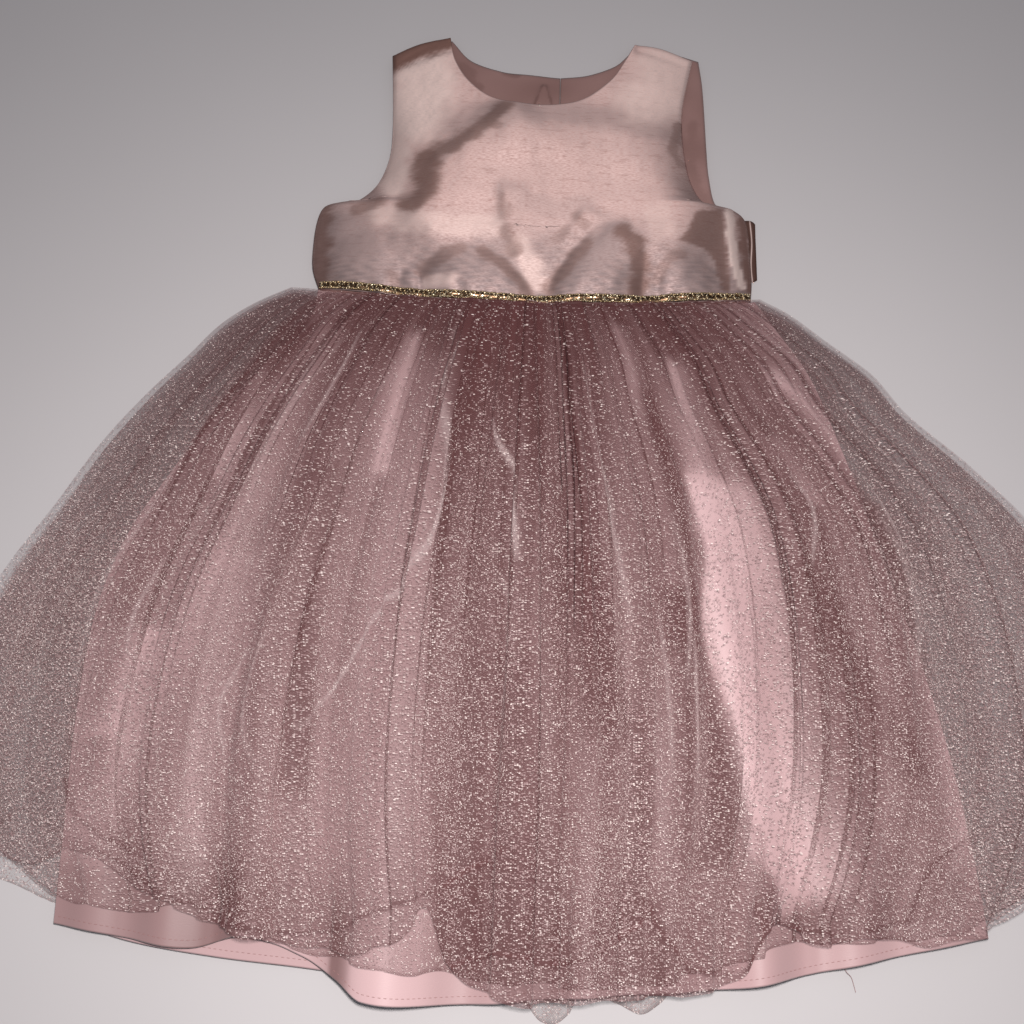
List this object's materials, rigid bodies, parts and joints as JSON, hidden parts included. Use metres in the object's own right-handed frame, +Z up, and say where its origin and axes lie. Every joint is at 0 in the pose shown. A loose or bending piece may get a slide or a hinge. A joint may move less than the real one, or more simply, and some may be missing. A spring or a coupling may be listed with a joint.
{
  "type": "toddler party dress",
  "caption": "Sleeveless toddler party dress laid flat, with a satin bodice, a metallic braid at the waist and a gathered tulle skirt over a satin lining.",
  "frame": {"origin": "on the table under the middle of the dress's outline as it lies, 110 mm below the middle of the waist seam", "axes": "+X towards the wearer's left side, which is on the right as seen from above; +Y towards the neck; +Z up from the table, out of the dress's front"},
  "size_m": [0.6445, 0.6076, 0.0326],
  "materials": {
    "satin": "slubbed champagne pink satin",
    "lining_satin": "smooth pink satin",
    "lining_plain": "plain rosy brown lining cloth",
    "tulle": "fine mauve net with glitter",
    "gold_braid": "metallic thread braid with small beads"
  },
  "bodies": {
    "root": {"bodice_front": "satin", "bodice_back_left": "satin", "bodice_back_right": "satin", "back_lining_left": "lining_plain", "back_lining_right": "lining_plain", "sash": "satin", "waist_braid": "gold_braid", "tulle_back_outer": "tulle", "tulle_back_inner": "tulle", "skirt_lining_back": "lining_satin", "skirt_lining_front": "lining_satin", "tulle_front_inner": "tulle", "tulle_front_outer": "tulle"}
  },
  "joints": []
}
